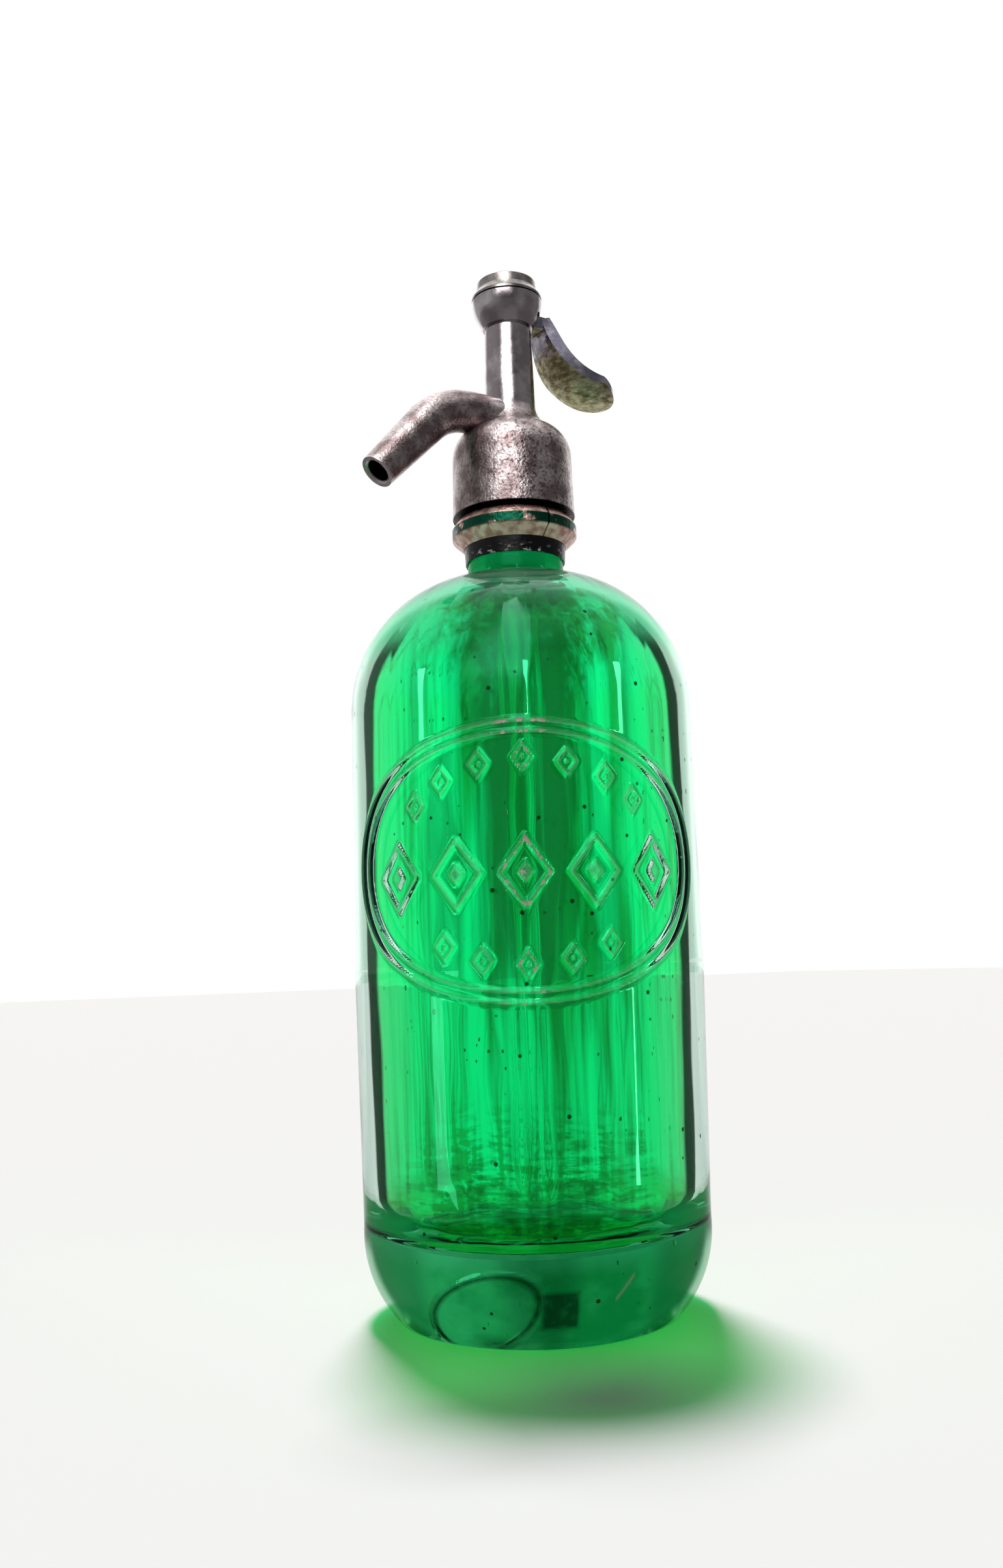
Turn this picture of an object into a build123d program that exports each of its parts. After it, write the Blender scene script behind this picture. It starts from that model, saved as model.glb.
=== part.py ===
from build123d import *
from math import acos, cos, degrees, radians, sin, sqrt
import os

# Soda siphon: a thick moulded glass bottle whose neck carries a cast head with a spout and a lever.
# Millimetres, +Z up. The origin is the centre of the ring that the bottle stands on.
# The spout points along -X and the lever along +X, so the head is symmetric about the XZ plane.

# ---- bottle ----
body_radius = 50.0  # over the arrises between the panels
base_narrowing = 1.4  # how much smaller the body's radius is at the heel
narrowing_height = 95.0  # where the body reaches its full radius
wall = 4.0
panel_count = 12
panel_depth = 1.1  # how far a panel's middle lies inside the full radius
panel_foot = 45.0  # below this height the panels run out into the round heel
shoulder_centre = 10.0  # from the bottle's axis to the centre of the shoulder's arc
shoulder_height = 170.0  # where the straight side turns into the shoulder
heel_height = 26.0
foot_radius = 38.6  # outside of the flat ring that the bottle rests on
foot_width = 2.0
punt_rise = 6.5
punt_middle = (0.6, 0.68)  # a point on the punt's curve, as shares of the foot's radius and of the rise
heel_middle = (0.72, 0.4)  # a point on the heel's curve, as shares of its width and of its height
floor_height = 23.0  # thickness of the glass base
floor_crown = 2.5
floor_middle = (0.4, 0.7)  # a point on the floor's curve, as shares of the cavity's radius and of the crown
floor_corner = 12.0
neck_radius = 14.3
neck_length = 5.6
neck_bore = 9.0
neck_root_fillet = 1.5
groove_radius = 12.2  # waist of the neck that the clamp ring grips
groove_ramp = 1.5
bead_radius = 14.6
bead_height = 10.3
bead_fillet = 1.2

# ---- oval medallion on the bottle ----
front_azimuth = 237.0  # degrees about +Z from +X: the direction that the medallion faces
oval_height = 122.6
oval_half_height = 37.0
oval_half_angle = 64.0
ridge_width = 1.6  # at the top of the oval
ridge_pitch = 2.8  # from the outer ridge to the inner one, at the top of the oval
relief_rise = 0.6
relief_root = 0.8  # how deep the raised work is rooted in the glass
large_lozenge = (15.0, 20.0, 1.4)  # width, height and width of the outline
small_lozenge = (6.4, 8.4, 1.05)
lozenge_heart = 0.28  # the solid middle of a lozenge, as a share of its size
middle_places = (-2, -1, 0, 1, 2)
middle_pitch = 21.0  # degrees between the large lozenges
middle_drop = 3.0  # how far the row of large lozenges hangs below the oval's middle
upper_places = (-4, -3, -2, -1, 0, 1, 2, 3, 4)
lower_places = (-2, -1, 0, 1, 2)
small_pitch = 18.0  # degrees round the oval between the small lozenges
small_side_inset = 21.0  # degrees from the oval's side to the curve of small lozenges
small_top_inset = 10.5  # from the oval's top to the curve of small lozenges

# ---- clamp ring and neck rubber ----
lip_height = 4.6
lip_radius = 15.2
lip_foot_radius = 14.9
sleeve_wall = 0.9
collar_thickness = 0.6
collar_radius = 14.4
ring_height = 8.5
ring_radius = 18.7
ring_foot_radius = 15.4
ring_top_radius = 17.0
ring_flat = 3.0  # height of the ring's outer band
ring_foot_step = 3.1
band_fillet = 0.5
hook_rise = 1.0  # the hook under the bead stands this much above the visible ring
seam_gap = 0.5
thread_radius = 16.0  # outside of the ring's threaded sleeve
thread_length = 8.6

# ---- head casting ----
bell_gap = 1.1
bell_radius = 18.4
bell_taper = 0.4
bell_side = 18.7  # height of the bell's straight side
dome_radius = 10.0
dome_sweep = 62.0
column_radius = 7.7
column_taper = 0.6
column_height = 60.6  # from the bell's mouth to the top of the groove under the lever housing
groove_depth = 0.5
groove_height = 0.9
housing_radius = 10.8
housing_height = 8.6
housing_middle = (0.66, 0.42)  # a point on the housing's bulge, as shares of its width and of its height
gasket_thickness = 2.7
gasket_bore = 9.3

# ---- spout ----
spout_height = 31.0  # axis above the bell's mouth
spout_radius = 6.2
spout_tip_radius = 5.15
spout_bore = 3.4
spout_reach = 15.0  # horizontal run, from the bottle's axis to the bend
spout_bend = 20.0
spout_angle = 47.0
spout_length = 24.0  # straight run after the bend
mouth_chamfer = 0.7

# ---- valve ----
seat_bore = 2.7
seat_lip_width = 0.8
seat_lip_height = 0.8
seat_thickness = 4.0
seat_radius = 6.4
chamber_radius = 4.6
chamber_height = 13.5
guide_height = 5.0
rod_radius = 1.5
rod_thread_radius = 1.2
tail_radius = 1.0
cup_radius = 3.8
cup_thickness = 1.0
washer_radius = 3.6
washer_thickness = 2.0
small_nut_radius = 2.2  # over the corners
small_nut_height = 1.8
tail_spare = 0.8
packing_radius = 3.8
packing_height = 5.0
follower_height = 2.0
gland_radius = 4.25
gland_height = 6.0
gland_slot = 1.2
gland_bore_play = 0.25

# ---- dip tube ----
tube_radius = 3.5
tube_bore = 2.2
tube_clearance = 4.0  # above the floor of the bottle
tube_socket = 5.3  # how far the tube reaches into its rubber
tube_nut_thread = 2.0
tube_nut_flange = 2.1
tube_nut_radius = 8.0  # over the corners

# ---- lever, its pin and the spring ----
pivot_reach = 7.5
pivot_rise = 3.5  # above the bottom of the lever housing
pin_radius = 1.25
pin_length = 10.4
boss_radius = 2.4
tongue_width = 6.8
tongue_thickness = 1.6
nose_radius = 1.6
fork_gap = 0.35
slot_clearance = 0.3
lift_nut_radius = 2.8  # over the corners
lift_nut_height = 1.8
lift_play = 0.2
arm_reach = 11.9  # from the bottle's axis to the top end of the arm
arm_width = 6.8
paddle_width = 18.5
paddle_reach = 37.5
paddle_drop = 15.8  # from the pivot down to the rim of the paddle
lever_travel = 16.0
upper_chamber_radius = 5.2
spring_seat_radius = 4.0
spring_seat_thickness = 0.8
spring_radius = 3.2
spring_wire = 0.35
spring_turns = 3.0

# ---- top cap ----
cap_gasket_thickness = 0.5
cap_gasket_inset = 0.4
cap_height = 6.0
cap_flange = 0.7
cap_top_radius = 9.0
cap_waist_step = 0.2  # how far the straight side stands out at its foot
cap_edge_chamfer = 0.5
cap_cove_middle = (0.5, 0.27)  # a point on the cove, as shares of its width and of the cap's height
cap_spigot_radius = 6.8
cap_spigot_length = 1.5
cap_roof = 1.7

# ---- clearances ----
seat_play = 0.1  # radial, between two fixed pieces
running_play = 0.06  # radial, between a moving rod or pin and its hole
thread_play = 0.1
press_play = 0.02  # radial, where a pin or nut is tight
end_play = 0.2  # along the axis
beyond = 5.0  # how far a tool that trims or cuts runs past what it meets

# ---- heights that follow from the sizes above ----
shoulder_radius = body_radius - shoulder_centre
shoulder_top = shoulder_height + sqrt(shoulder_radius**2 - (neck_radius - shoulder_centre) ** 2)
lip_base = shoulder_top + neck_length
ring_base = lip_base + lip_height
ring_top = ring_base + ring_height
hook_top = ring_top + hook_rise
bead_base = hook_top + collar_thickness
bead_top = bead_base + bead_height
bell_base = ring_top + bell_gap
bell_ceiling = bead_top + gasket_thickness
sleeve_top = ring_top + thread_length + bell_gap

tube_top = bell_ceiling + tube_nut_thread + tube_socket
seat_base = tube_top + end_play
chamber_base = seat_base + seat_thickness
lip_top = chamber_base + seat_lip_height
chamber_top = chamber_base + chamber_height
packing_base = chamber_top + guide_height
follower_base = packing_base + packing_height
gland_base = follower_base + follower_height
gland_top = gland_base + gland_height
groove_base = bell_base + column_height - groove_height
housing_base = bell_base + column_height
housing_top = housing_base + housing_height
cap_base = housing_top + cap_gasket_thickness
cap_top = cap_base + cap_height
cap_ceiling = cap_top - cap_roof
spigot_base = housing_top - cap_spigot_length
pivot_height = housing_base + pivot_rise
lower_nut_top = pivot_height - nose_radius - lift_play
lower_nut_base = lower_nut_top - lift_nut_height
upper_nut_base = pivot_height + nose_radius + lift_play
upper_nut_top = upper_nut_base + lift_nut_height
spring_base = upper_nut_top + spring_seat_thickness
spout_axis = bell_base + spout_height
cup_base = lip_top + washer_thickness
cup_top = cup_base + cup_thickness

os.makedirs("parts", exist_ok=True)


def save(piece, label):
    """Names the finished piece and writes it as parts/<label>.step."""
    piece.part.label = label
    export_step(piece.part, f"parts/{label}.step")


def wall_plane(turn, height):
    """A vertical plane through the axis, facing out of the bottle, turned from the medallion's middle."""
    angle = radians(front_azimuth + turn)
    return Plane(
        origin=(0, 0, height), x_dir=(-sin(angle), cos(angle), 0), z_dir=(cos(angle), sin(angle), 0)
    )


def ring_section(inner, outer, low, high):
    """Adds a rectangle to the sketch in hand, from radius inner to outer and from height low to high."""
    with Locations(((inner + outer) / 2, (low + high) / 2)):
        Rectangle(outer - inner, high - low)


# ================ glass bottle ================


def oval_outline(shrink):
    """The medallion's outline seen from the front, drawn in until its top is lower by shrink."""
    half_height = oval_half_height - shrink
    half_angle = radians(oval_half_angle) * half_height / oval_half_height
    turns = [radians(15 * step) for step in range(24)]
    points = [(body_radius * sin(half_angle * cos(t)), half_height * sin(t)) for t in turns]
    Spline(*points, periodic=True)


# The round form of the bottle, before the panels are pressed into it.
with BuildPart() as bottle_form:
    with BuildSketch(Plane.XZ):
        with BuildLine():
            base_radius = body_radius - base_narrowing
            punt = ThreePointArc(
                (0, punt_rise),
                (foot_radius * punt_middle[0], punt_rise * punt_middle[1]),
                (foot_radius - foot_width, 0),
            )
            foot = Line(punt @ 1, (foot_radius, 0))
            heel = ThreePointArc(
                foot @ 1,
                (
                    foot_radius + (base_radius - foot_radius) * heel_middle[0],
                    heel_height * heel_middle[1],
                ),
                (base_radius, heel_height),
            )
            Line(heel @ 1, (body_radius, narrowing_height))
            Line((body_radius, narrowing_height), (body_radius, shoulder_height))
            shoulder = CenterArc(
                (shoulder_centre, shoulder_height),
                shoulder_radius,
                0,
                degrees(acos((neck_radius - shoulder_centre) / shoulder_radius)),
            )
            ramp_top = lip_base + groove_ramp
            Polyline(
                shoulder @ 1,
                (neck_radius, lip_base),
                (groove_radius, ramp_top),
                (groove_radius, bead_base),
                (bead_radius, bead_base),
                (bead_radius, bead_top),
                (0, bead_top),
                (0, punt_rise),
            )
        make_face()
    revolve(axis=Axis.Z)
    neck_root = bottle_form.edges().filter_by(GeomType.CIRCLE).sort_by(
        lambda e: abs(e.center().Z - shoulder_top) + abs(e.radius - neck_radius)
    )[0]
    fillet(neck_root, neck_root_fillet)

# The medallion's ground: the full round of the glass, kept where the panels would cut it.
with BuildPart() as medallion_ground:
    with BuildSketch(wall_plane(0, oval_height)):
        with BuildLine():
            oval_outline(0)
        make_face()
    extrude(amount=body_radius + beyond)
    with BuildSketch(Plane.XY):
        Circle(body_radius)
        Circle(body_radius - wall / 2, mode=Mode.SUBTRACT)
    extrude(amount=shoulder_height, mode=Mode.INTERSECT)


def lozenge(width, height, stroke):
    """A raised lozenge outline, one stroke wide, with a small lozenge in its middle."""
    corners = [(width / 2, 0), (0, height / 2), (-width / 2, 0), (0, -height / 2)]
    Polygon(*corners, align=None)
    inner = 1 - 2 * stroke * sqrt(width**2 + height**2) / (width * height)
    Polygon(*[(x * inner, y * inner) for x, y in corners], align=None, mode=Mode.SUBTRACT)
    Polygon(*[(x * lozenge_heart, y * lozenge_heart) for x, y in corners], align=None)


# Raised work of the medallion: two ridges round it, a row of large lozenges across the middle and
# small ones that follow the ridge above and below.
middle_row = [(place * middle_pitch, -middle_drop, large_lozenge) for place in middle_places]
side_reach = oval_half_angle - small_side_inset
top_reach = oval_half_height - small_top_inset
small_rows = []
for places, up in ((upper_places, 1), (lower_places, -1)):
    for place in places:
        angle = radians(place * small_pitch)
        small_rows.append((side_reach * sin(angle), up * top_reach * cos(angle), small_lozenge))

with BuildPart() as medallion_relief:
    for inset in (0, ridge_pitch):
        with BuildSketch(wall_plane(0, oval_height)):
            with BuildLine():
                oval_outline(inset)
            make_face()
            with BuildLine():
                oval_outline(inset + ridge_width)
            make_face(mode=Mode.SUBTRACT)
        extrude(amount=body_radius + beyond)
    for turn, rise, shape in middle_row + small_rows:
        with BuildSketch(wall_plane(turn, oval_height + rise).offset(body_radius - wall)):
            lozenge(*shape)
        extrude(amount=wall + beyond)
    with BuildSketch(Plane.XY):
        Circle(body_radius + relief_rise)
        Circle(body_radius - relief_root, mode=Mode.SUBTRACT)
    extrude(amount=shoulder_height, mode=Mode.INTERSECT)

with BuildPart() as glass_bottle:
    add(bottle_form.part)
    for turn in range(panel_count // 2):
        angle = radians(front_azimuth + 360 / panel_count * (turn + 0.5))
        across = Plane(origin=(0, 0, 0), x_dir=(cos(angle), sin(angle), 0), z_dir=(sin(angle), -cos(angle), 0))
        panel_reach = body_radius - panel_depth
        arc_radius = shoulder_radius - panel_depth
        foot_share = (panel_foot - heel_height) / (narrowing_height - heel_height)
        foot_reach = base_radius + base_narrowing * foot_share - panel_depth
        neck_room = neck_radius + 2 * neck_root_fillet
        with BuildSketch(across):
            with BuildLine():
                Polyline(
                    (0, -beyond),
                    (base_radius, -beyond),
                    (base_radius, heel_height),
                    (foot_reach, panel_foot),
                    (panel_reach, narrowing_height),
                    (panel_reach, shoulder_height + panel_depth),
                )
                top_arc = CenterArc(
                    (shoulder_centre, shoulder_height + panel_depth),
                    arc_radius,
                    0,
                    degrees(acos((neck_room - shoulder_centre) / arc_radius)),
                )
                Polyline(top_arc @ 1, (neck_room, bead_top + beyond), (0, bead_top + beyond))
                mirror(about=Plane.YZ)
            make_face()
        extrude(amount=body_radius + beyond, both=True, mode=Mode.INTERSECT)
    add(medallion_ground.part)
    add(medallion_relief.part)
    # The cavity: thick base, even wall, and a bore through the neck.
    inner_shoulder = shoulder_radius - wall
    inner_radius = body_radius - wall
    inner_base = inner_radius - base_narrowing
    with BuildSketch(Plane.XZ):
        with BuildLine():
            floor_arc = ThreePointArc(
                (0, floor_height + floor_crown),
                (inner_base * floor_middle[0], floor_height + floor_crown * floor_middle[1]),
                (inner_base - floor_corner, floor_height),
            )
            corner = CenterArc(
                (inner_base - floor_corner, floor_height + floor_corner), floor_corner, -90, 90
            )
            Polyline(corner @ 1, (inner_radius, narrowing_height), (inner_radius, shoulder_height))
            inner_arc = CenterArc((shoulder_centre, shoulder_height), inner_shoulder, 0, 90)
            Polyline(
                inner_arc @ 1,
                (neck_bore, shoulder_height + inner_shoulder),
                (neck_bore, bead_top + beyond),
                (0, bead_top + beyond),
                (0, floor_height + floor_crown),
            )
        make_face()
    revolve(axis=Axis.Z, mode=Mode.SUBTRACT)
    bead_edges = glass_bottle.edges().filter_by(GeomType.CIRCLE)
    bead_edges = [e for e in bead_edges if abs(e.radius - bead_radius) < 0.01 and e.center().Z > bead_base - 1]
    fillet(bead_edges, bead_fillet)
save(glass_bottle, "glass_bottle")

# ================ clamp ring, its rubber and the neck gasket ================

# Rubber sleeve: a foot lip that shows under the ring, a thin wall in the neck's waist, and a collar
# that the ring's hook presses up against the bead.
with BuildPart() as neck_sleeve:
    with BuildSketch(Plane.XZ):
        with BuildLine():
            sleeve_inner = groove_radius + seat_play
            sleeve_outer = sleeve_inner + sleeve_wall
            Polyline(
                (neck_radius + seat_play, lip_base),
                (lip_foot_radius, lip_base),
                (lip_radius, ring_base),
                (sleeve_outer, ring_base),
                (sleeve_outer, hook_top),
                (collar_radius, hook_top),
                (collar_radius, bead_base),
                (sleeve_inner, bead_base),
                (sleeve_inner, lip_base + groove_ramp),
                close=True,
            )
        make_face()
    revolve(axis=Axis.Z)
save(neck_sleeve, "neck_sleeve")

# The clamp ring: an outer band that shows, a hook under the bead, and a threaded sleeve that the
# bell screws onto. It is cast in two halves, so that it closes round the glass.
hook_radius = sleeve_outer + seat_play
with BuildPart() as whole_ring:
    with BuildSketch(Plane.XZ):
        with BuildLine():
            Polyline(
                (hook_radius, ring_base),
                (ring_foot_radius, ring_base),
                (ring_radius, ring_base + ring_foot_step),
                (ring_radius, ring_base + ring_foot_step + ring_flat),
                (ring_top_radius, ring_top),
                (thread_radius, ring_top),
                (thread_radius, sleeve_top),
                (bead_radius + seat_play, sleeve_top),
                (bead_radius + seat_play, hook_top),
                (hook_radius, hook_top),
                close=True,
            )
        make_face()
    revolve(axis=Axis.Z)
    band_edges = whole_ring.edges().filter_by(GeomType.CIRCLE).filter_by(
        lambda e: e.radius > ring_top_radius + 0.1
    )
    fillet(band_edges, band_fillet)

for side, label in ((-1, "neck_ring_left"), (1, "neck_ring_right")):
    with BuildPart() as half_ring:
        add(whole_ring.part)
        with Locations((side * (seam_gap / 2 + ring_radius), 0, (ring_base + sleeve_top) / 2)):
            Box(2 * ring_radius, 3 * ring_radius, 2 * ring_height + thread_length, mode=Mode.INTERSECT)
    save(half_ring, label)

with BuildPart() as neck_gasket:
    with BuildSketch(Plane.XZ):
        ring_section(gasket_bore, bead_radius - seat_play, bead_top, bell_ceiling)
    revolve(axis=Axis.Z)
save(neck_gasket, "neck_gasket")

# ================ head casting ================


def spout_route(last):
    """The spout's axis: level out of the chamber, then the bend, then the straight drop when last."""
    level = Line((-chamber_radius * 0.5, spout_axis), (-spout_reach, spout_axis))
    bend = JernArc(start=level @ 1, tangent=(-1, 0), radius=spout_bend, arc_size=spout_angle)
    if last:
        Line(bend @ 1, bend @ 1 + (bend % 1) * spout_length)


with BuildLine(Plane.XZ) as tube_route:
    spout_route(False)
with BuildLine(Plane.XZ) as bore_route:
    spout_route(True)
spout_start = Plane(origin=tube_route.line @ 0, z_dir=tube_route.line % 0)
bend_end = Plane(origin=tube_route.line @ 1, z_dir=tube_route.line % 1)
mouth = bend_end.offset(spout_length)

with BuildPart() as head_casting:
    # Bell, dome, column and lever housing in one turned outline.
    with BuildSketch(Plane.XZ):
        with BuildLine():
            side_radius = bell_radius - bell_taper
            bell_wall = Line((bell_radius, bell_base), (side_radius, bell_base + bell_side))
            dome = JernArc(start=bell_wall @ 1, tangent=(0, 1), radius=dome_radius, arc_size=dome_sweep)
            flare_radius = ((dome @ 1).X - column_radius) / (1 - cos(radians(dome_sweep)))
            flare = JernArc(start=dome @ 1, tangent=dome % 1, radius=flare_radius, arc_size=-dome_sweep)
            column_top = column_radius - column_taper
            groove_radius_head = column_top - groove_depth
            housing_root = column_top + groove_depth
            groove = Polyline(
                flare @ 1,
                (column_top, groove_base),
                (groove_radius_head, groove_base),
                (groove_radius_head, housing_base),
                (housing_root, housing_base),
            )
            housing = ThreePointArc(
                groove @ 1,
                (
                    housing_root + (housing_radius - housing_root) * housing_middle[0],
                    housing_base + housing_height * housing_middle[1],
                ),
                (housing_radius, housing_top),
            )
            Polyline(housing @ 1, (0, housing_top), (0, bell_base), (bell_radius, bell_base))
        make_face()
    revolve(axis=Axis.Z)
    # The spout: an even tube to the end of the bend, then a slight taper to the mouth.
    with BuildSketch(spout_start):
        Circle(spout_radius)
    sweep(path=tube_route.line)
    with BuildSketch(bend_end):
        Circle(spout_radius)
    with BuildSketch(mouth):
        Circle(spout_tip_radius)
    loft()
    # Stepped bore: bell, dip tube rubber, valve chamber, rod guide, packing, gland, lever chamber, cap.
    with BuildSketch(Plane.XZ):
        bell_bore = thread_radius + thread_play
        ring_section(0, bell_bore, bell_base - 1, bell_ceiling)
        ring_section(0, seat_radius + seat_play, bell_ceiling - 1, chamber_base)
        ring_section(0, chamber_radius, chamber_base - 1, chamber_top)
        ring_section(0, rod_radius + running_play, chamber_top - 1, packing_base + 1)
        ring_section(0, packing_radius + seat_play, packing_base, gland_base)
        ring_section(0, gland_radius + thread_play, gland_base, gland_top + end_play)
        ring_section(0, upper_chamber_radius, gland_top + end_play, housing_top)
        ring_section(0, cap_spigot_radius + thread_play, spigot_base - end_play, housing_top + 1)
    revolve(axis=Axis.Z, mode=Mode.SUBTRACT)
    with BuildSketch(spout_start):
        Circle(spout_bore)
    sweep(path=bore_route.line, mode=Mode.SUBTRACT)
    with BuildSketch(mouth):
        Circle(spout_bore + mouth_chamfer)
    with BuildSketch(mouth.offset(-mouth_chamfer)):
        Circle(spout_bore)
    loft(mode=Mode.SUBTRACT)
    # Slot for the lever, and the hole for its pin.
    slot_half_height = boss_radius + slot_clearance + running_play
    with Locations(Plane(origin=(upper_chamber_radius * 0.6, 0, pivot_height), z_dir=(1, 0, 0))):
        Box(
            2 * slot_half_height,
            tongue_width + 2 * slot_clearance,
            housing_radius,
            align=(Align.CENTER, Align.CENTER, Align.MIN),
            mode=Mode.SUBTRACT,
        )
    with BuildSketch(Plane.XZ):
        with Locations((pivot_reach, pivot_height)):
            Circle(pin_radius + press_play)
    extrude(amount=housing_radius, both=True, mode=Mode.SUBTRACT)
save(head_casting, "head_casting")

# ================ dip tube and its fittings ================

with BuildPart() as dip_tube:
    with BuildSketch(Plane.XZ):
        tube_foot = floor_height + floor_crown + tube_clearance
        ring_section(tube_bore, tube_radius, tube_foot, tube_top)
    revolve(axis=Axis.Z)
save(dip_tube, "dip_tube")

with BuildPart() as tube_packing:
    with BuildSketch(Plane.XZ):
        ring_section(tube_radius + seat_play, seat_radius, bell_ceiling + tube_nut_thread, seat_base)
    revolve(axis=Axis.Z)
save(tube_packing, "tube_packing")

with BuildPart() as tube_nut:
    with BuildSketch(Plane.XY.offset(bell_ceiling)):
        Circle(seat_radius)
    extrude(amount=tube_nut_thread)
    with BuildSketch(Plane.XY.offset(bell_ceiling)):
        RegularPolygon(radius=tube_nut_radius, side_count=6)
    extrude(amount=-tube_nut_flange)
    with BuildSketch(Plane.XY.offset(bell_ceiling - tube_nut_flange)):
        Circle(tube_radius + seat_play)
    extrude(amount=tube_nut_flange + tube_nut_thread, mode=Mode.SUBTRACT)
save(tube_nut, "tube_nut")

# ================ valve ================

with BuildPart() as valve_seat:
    with BuildSketch(Plane.XZ):
        ring_section(seat_bore, seat_radius, seat_base, chamber_base)
        ring_section(seat_bore, seat_bore + seat_lip_width, chamber_base - 1, lip_top)
    revolve(axis=Axis.Z)
save(valve_seat, "valve_seat")

stem_foot = lip_top - small_nut_height - tail_spare
stem_top = spring_base + (cap_ceiling - spring_base) * 0.3
with BuildPart() as valve_stem:
    with BuildSketch(Plane.XZ):
        ring_section(0, tail_radius, stem_foot, cup_top)
        ring_section(0, cup_radius, cup_base, cup_top)
        ring_section(0, rod_radius, cup_top - cup_thickness / 2, lower_nut_base)
        ring_section(0, rod_thread_radius, lower_nut_base - 1, stem_top)
    revolve(axis=Axis.Z)
    tip_edges = valve_stem.edges().filter_by(GeomType.CIRCLE).sort_by(Axis.Z)[-1]
    chamfer(tip_edges, rod_thread_radius * 0.3)
save(valve_stem, "valve_stem")

with BuildPart() as valve_washer:
    with BuildSketch(Plane.XZ):
        ring_section(tail_radius + press_play, washer_radius, lip_top, cup_base)
    revolve(axis=Axis.Z)
save(valve_washer, "valve_washer")

with BuildPart() as washer_nut:
    with BuildSketch(Plane.XY.offset(lip_top - small_nut_height)):
        RegularPolygon(radius=small_nut_radius, side_count=6)
        Circle(tail_radius + press_play, mode=Mode.SUBTRACT)
    extrude(amount=small_nut_height)
save(washer_nut, "washer_nut")

with BuildPart() as stem_packing:
    with BuildSketch(Plane.XZ):
        ring_section(rod_radius + running_play, packing_radius, packing_base, follower_base)
    revolve(axis=Axis.Z)
save(stem_packing, "stem_packing")

with BuildPart() as packing_follower:
    with BuildSketch(Plane.XZ):
        ring_section(rod_radius + gland_bore_play, packing_radius, follower_base, gland_base)
    revolve(axis=Axis.Z)
save(packing_follower, "packing_follower")

with BuildPart() as gland_nut:
    with BuildSketch(Plane.XZ):
        ring_section(rod_radius + gland_bore_play, gland_radius, gland_base, gland_top)
    revolve(axis=Axis.Z)
    with Locations((0, 0, gland_top)):
        Box(3 * gland_radius, gland_slot, gland_height * 0.5, mode=Mode.SUBTRACT)
save(gland_nut, "gland_nut")

# Two nuts on the rod, one under and one over the lever's fork.
with BuildPart() as lift_nuts:
    for nut_base in (lower_nut_base, upper_nut_base):
        with BuildSketch(Plane.XY.offset(nut_base)):
            RegularPolygon(radius=lift_nut_radius, side_count=6)
            Circle(rod_thread_radius + press_play, mode=Mode.SUBTRACT)
        extrude(amount=lift_nut_height)
save(lift_nuts, "lift_nuts")

with BuildPart() as spring_seat:
    with BuildSketch(Plane.XZ):
        ring_section(rod_thread_radius + press_play, spring_seat_radius, upper_nut_top, spring_base)
    revolve(axis=Axis.Z)
save(spring_seat, "spring_seat")

with BuildPart() as return_spring:
    coil_height = cap_ceiling - spring_base - 2 * spring_wire - 2 * press_play
    with BuildLine(Plane.XY.offset(spring_base + spring_wire + press_play)) as coil:
        Helix(pitch=coil_height / spring_turns, height=coil_height, radius=spring_radius)
    with BuildSketch(Plane(origin=coil.line @ 0, z_dir=coil.line % 0)):
        Circle(spring_wire)
    sweep(path=coil.line, is_frenet=True)
save(return_spring, "return_spring")

# ================ top cap ================

with BuildPart() as cap_gasket:
    with BuildSketch(Plane.XZ):
        ring_section(
            cap_spigot_radius + thread_play, housing_radius - cap_gasket_inset, housing_top, cap_base
        )
    revolve(axis=Axis.Z)
save(cap_gasket, "cap_gasket")

with BuildPart() as top_cap:
    with BuildSketch(Plane.XZ):
        with BuildLine():
            waist = (cap_top_radius + cap_waist_step, cap_base + cap_height / 2)
            cap_edge = Polyline(
                (upper_chamber_radius, spigot_base),
                (cap_spigot_radius, spigot_base),
                (cap_spigot_radius, cap_base),
                (housing_radius, cap_base),
                (housing_radius, cap_base + cap_flange),
            )
            ThreePointArc(
                cap_edge @ 1,
                (
                    cap_top_radius + (housing_radius - cap_top_radius) * cap_cove_middle[0],
                    cap_base + cap_height * cap_cove_middle[1],
                ),
                waist,
            )
            Polyline(
                waist,
                (cap_top_radius, cap_top - cap_edge_chamfer),
                (cap_top_radius - cap_edge_chamfer, cap_top),
                (0, cap_top),
                (0, cap_ceiling),
                (upper_chamber_radius, cap_ceiling),
                (upper_chamber_radius, spigot_base),
            )
        make_face()
    revolve(axis=Axis.Z)
save(top_cap, "top_cap")

# ================ lever ================

# Sections down the arm, each as: reach and drop from the pivot, slope below level in degrees,
# width, thickness at the rim, and how high the upper and how low the lower face stand in the middle.
arm_start = arm_reach - pivot_reach
reach_span = paddle_reach - arm_reach
arm_sections = [
    (0.00, -0.12, 70, arm_width, 3.4, 2.0, -2.0),
    (0.07, 0.18, 66, arm_width * 1.3, 4.4, 2.4, -2.6),
    (0.21, 0.66, 52, paddle_width * 0.73, 4.2, 1.6, -3.6),
    (0.43, 0.96, 27, paddle_width * 0.9, 3.4, -0.2, -4.8),
    (0.74, 1.07, 6, paddle_width, 2.0, -3.2, -6.0),
    (1.04, 1.02, -3, paddle_width, 0.9, -3.0, -4.8),
]

with BuildPart() as paddle_plan:
    with BuildSketch(Plane.XY.offset(pivot_height - 2 * paddle_drop)):
        end_centre = paddle_reach - paddle_width / 2
        with Locations((end_centre, 0)):
            Circle(paddle_width / 2)
        with Locations((end_centre / 2, 0)):
            Rectangle(end_centre, paddle_width)
    extrude(amount=3 * paddle_drop)

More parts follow.
